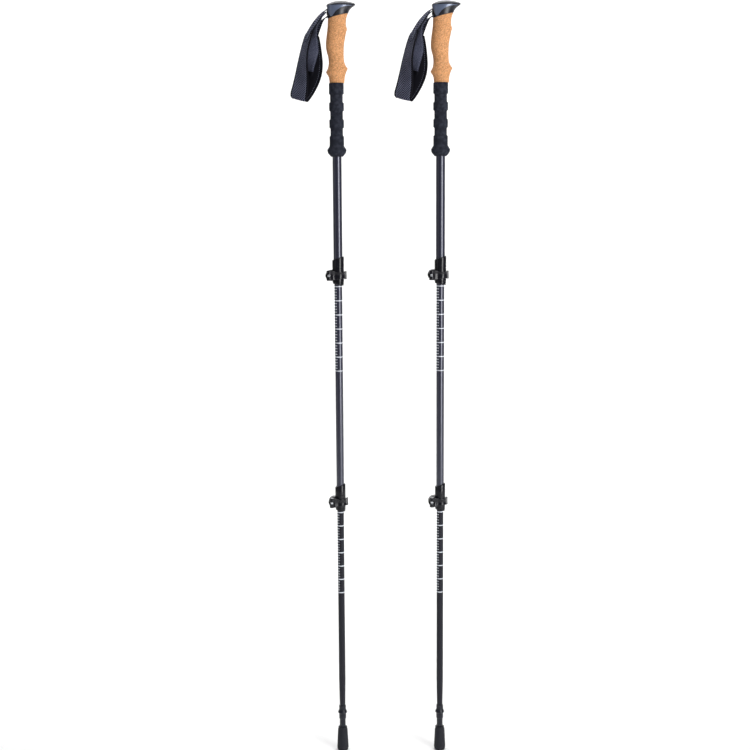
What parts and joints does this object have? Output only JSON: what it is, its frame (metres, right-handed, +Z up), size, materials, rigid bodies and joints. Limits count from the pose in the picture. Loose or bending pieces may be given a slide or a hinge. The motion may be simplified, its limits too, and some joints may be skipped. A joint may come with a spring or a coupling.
{
  "type": "trekking poles",
  "caption": "Telescopic three-section trekking poles with cork grips, foam extensions, padded wrist straps, flip-lever clamps and rubber tip caps.",
  "frame": {"origin": "centre of the left pole's flat rubber tip face, on the ground", "axes": "+Z up along the poles; +X from the left pole to the right one, and the way each grip's beak points; +Y away from the side that shows the clamp levers"},
  "size_m": [0.2954, 0.0336, 1.35],
  "materials": {
    "carbon_gloss": "gloss black carbon-fibre laminate under clear lacquer, with printed white length marks",
    "carbon_matt": "matt black carbon-fibre laminate",
    "black_plastic": "satin black moulded nylon",
    "trim_plastic": "glossy blue-grey moulded inlay",
    "cork": "warm tan agglomerated cork, open-grained and dry",
    "foam": "soft matt charcoal closed-cell foam",
    "webbing": "blue-grey patterned woven webbing",
    "lining": "black brushed lining with a patterned grey-blue outer face and black piping",
    "steel": "bright machined steel",
    "carbide": "dull grey tungsten carbide",
    "rubber": "black matt rubber"
  },
  "bodies": {
    "left_upper": {"left_head_core": "black_plastic", "left_head_cap": "black_plastic", "left_head_trim_front": "trim_plastic", "left_head_trim_back": "trim_plastic", "left_strap_pin": "steel", "left_cork_grip": "cork", "left_foam_grip": "foam", "left_upper_tube": "carbon_gloss", "left_upper_clamp_collar": "black_plastic", "left_upper_clamp_bolt": "steel", "left_upper_clamp_pin": "steel"},
    "left_middle": {"left_middle_tube": "carbon_gloss", "left_middle_plug": "black_plastic", "left_lower_clamp_collar": "black_plastic", "left_lower_clamp_bolt": "steel", "left_lower_clamp_pin": "steel"},
    "left_lower": {"left_lower_tube": "carbon_matt", "left_lower_plug": "black_plastic", "left_tip_ferrule": "black_plastic", "left_carbide_tip": "carbide"},
    "left_cap": {"left_rubber_cap": "rubber"},
    "left_upper_lever": {"left_upper_clamp_lever": "black_plastic"},
    "left_lower_lever": {"left_lower_clamp_lever": "black_plastic"},
    "left_upper_nut": {"left_upper_clamp_nut": "black_plastic"},
    "left_lower_nut": {"left_lower_clamp_nut": "black_plastic"},
    "left_strap": {"left_strap_webbing": "webbing", "left_strap_tail": "webbing", "left_strap_pad": "lining", "left_strap_wedge": "black_plastic"},
    "right_upper": {"right_head_core": "black_plastic", "right_head_cap": "black_plastic", "right_head_trim_front": "trim_plastic", "right_head_trim_back": "trim_plastic", "right_strap_pin": "steel", "right_cork_grip": "cork", "right_foam_grip": "foam", "right_upper_tube": "carbon_gloss", "right_upper_clamp_collar": "black_plastic", "right_upper_clamp_bolt": "steel", "right_upper_clamp_pin": "steel"},
    "right_middle": {"right_middle_tube": "carbon_gloss", "right_middle_plug": "black_plastic", "right_lower_clamp_collar": "black_plastic", "right_lower_clamp_bolt": "steel", "right_lower_clamp_pin": "steel"},
    "right_lower": {"right_lower_tube": "carbon_matt", "right_lower_plug": "black_plastic", "right_tip_ferrule": "black_plastic", "right_carbide_tip": "carbide"},
    "right_cap": {"right_rubber_cap": "rubber"},
    "right_upper_lever": {"right_upper_clamp_lever": "black_plastic"},
    "right_lower_lever": {"right_lower_clamp_lever": "black_plastic"},
    "right_upper_nut": {"right_upper_clamp_nut": "black_plastic"},
    "right_lower_nut": {"right_lower_clamp_nut": "black_plastic"},
    "right_strap": {"right_strap_webbing": "webbing", "right_strap_tail": "webbing", "right_strap_pad": "lining", "right_strap_wedge": "black_plastic"}
  },
  "joints": [
    {"name": "left_middle_slide", "type": "slide", "parent": "left_upper", "child": "left_middle", "axis": [0, 0, 1], "range_m": [0, 0.312]},
    {"name": "left_lower_slide", "type": "slide", "parent": "left_middle", "child": "left_lower", "axis": [0, 0, 1], "range_m": [0, 0.365]},
    {"name": "left_cap_slide", "type": "slide", "parent": "left_lower", "child": "left_cap", "axis": [0, 0, -1], "range_m": [0, 0.05]},
    {"name": "left_upper_lever_hinge", "type": "hinge", "parent": "left_upper", "child": "left_upper_lever", "pos_m": [-0.0157, -0.0112, 0.8825], "axis": [0, 0, -1], "range_deg": [0, 120]},
    {"name": "left_lower_lever_hinge", "type": "hinge", "parent": "left_middle", "child": "left_lower_lever", "pos_m": [-0.0147, -0.0112, 0.474], "axis": [0, 0, -1], "range_deg": [0, 120]},
    {"name": "left_upper_nut_turn", "type": "hinge", "parent": "left_upper", "child": "left_upper_nut", "pos_m": [-0.0157, 0.00845, 0.8825], "axis": [0, 1, 0], "continuous": true},
    {"name": "left_lower_nut_turn", "type": "hinge", "parent": "left_middle", "child": "left_lower_nut", "pos_m": [-0.0147, 0.00845, 0.474], "axis": [0, 1, 0], "continuous": true},
    {"name": "left_strap_swing", "type": "hinge", "parent": "left_upper", "child": "left_strap", "pos_m": [-0.0065, 0, 1.331], "axis": [0, 1, 0], "range_deg": [0, 15]},
    {"name": "right_middle_slide", "type": "slide", "parent": "right_upper", "child": "right_middle", "axis": [0, 0, 1], "range_m": [0, 0.312]},
    {"name": "right_lower_slide", "type": "slide", "parent": "right_middle", "child": "right_lower", "axis": [0, 0, 1], "range_m": [0, 0.365]},
    {"name": "right_cap_slide", "type": "slide", "parent": "right_lower", "child": "right_cap", "axis": [0, 0, -1], "range_m": [0, 0.05]},
    {"name": "right_upper_lever_hinge", "type": "hinge", "parent": "right_upper", "child": "right_upper_lever", "pos_m": [0.1643, -0.0112, 0.8825], "axis": [0, 0, -1], "range_deg": [0, 120]},
    {"name": "right_lower_lever_hinge", "type": "hinge", "parent": "right_middle", "child": "right_lower_lever", "pos_m": [0.1653, -0.0112, 0.474], "axis": [0, 0, -1], "range_deg": [0, 120]},
    {"name": "right_upper_nut_turn", "type": "hinge", "parent": "right_upper", "child": "right_upper_nut", "pos_m": [0.1643, 0.00845, 0.8825], "axis": [0, 1, 0], "continuous": true},
    {"name": "right_lower_nut_turn", "type": "hinge", "parent": "right_middle", "child": "right_lower_nut", "pos_m": [0.1653, 0.00845, 0.474], "axis": [0, 1, 0], "continuous": true},
    {"name": "right_strap_swing", "type": "hinge", "parent": "right_upper", "child": "right_strap", "pos_m": [0.1735, 0, 1.331], "axis": [0, 1, 0], "range_deg": [0, 15]},
    {"name": "pair_spacing", "type": "slide", "parent": "left_upper", "child": "right_upper", "axis": [1, 0, 0], "range_m": [0, 0.25]}
  ]
}
